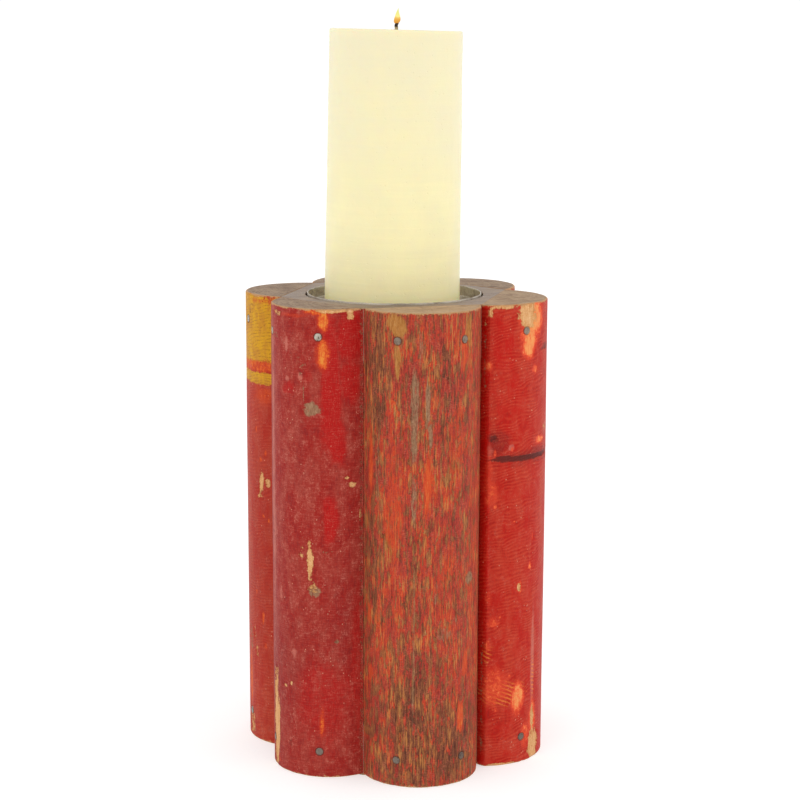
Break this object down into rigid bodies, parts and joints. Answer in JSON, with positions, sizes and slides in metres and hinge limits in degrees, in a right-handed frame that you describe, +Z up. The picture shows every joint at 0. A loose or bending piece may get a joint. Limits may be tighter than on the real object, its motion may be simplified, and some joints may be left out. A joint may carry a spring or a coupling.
{
  "type": "pillar candle holder",
  "caption": "Tall rustic pillar candle holder: painted half-round wooden staves round a hexagonal core, with a thin metal pan let into the top for a wide pillar candle.",
  "frame": {"origin": "middle of the foot, on the surface it stands on", "axes": "+Z up along the candle, -Y towards the front stave, +X to its right"},
  "size_m": [0.1592, 0.1719, 0.414],
  "materials": {
    "paint_front": "paint worn to the grain: orange-red, crimson and bare ochre streaks",
    "paint_front_right": "scarlet paint with chips, satin",
    "paint_back_right": "faded red paint, chipped to the wood",
    "paint_back": "mustard paint over red, chipped",
    "paint_back_left": "orange-red paint with a mustard top, chipped",
    "paint_front_left": "bright red paint, rubbed to dusty rose on one side",
    "bare_wood": "weathered grey-brown, unfinished",
    "nail_steel": "dull zinc, a little worn",
    "pan_metal": "dull tinned sheet, tarnished",
    "wax": "cream wax, soft sheen",
    "wick_cotton": "braided cotton, charred tip"
  },
  "bodies": {
    "holder": {"stave_front": "paint_front", "stave_front_right": "paint_front_right", "stave_back_right": "paint_back_right", "stave_back": "paint_back", "stave_back_left": "paint_back_left", "stave_front_left": "paint_front_left", "nails_front": "nail_steel", "nails_front_right": "nail_steel", "nails_back_right": "nail_steel", "nails_back": "nail_steel", "nails_back_left": "nail_steel", "nails_front_left": "nail_steel", "top_block": "bare_wood", "bottom_block": "bare_wood", "candle_pan": "pan_metal"},
    "candle": {"candle_wax": "wax", "candle_wick": "wick_cotton"}
  },
  "joints": [
    {"name": "candle_lift", "type": "slide", "parent": "holder", "child": "candle", "axis": [0, 0, 1], "range_m": [0, 0.15]}
  ]
}
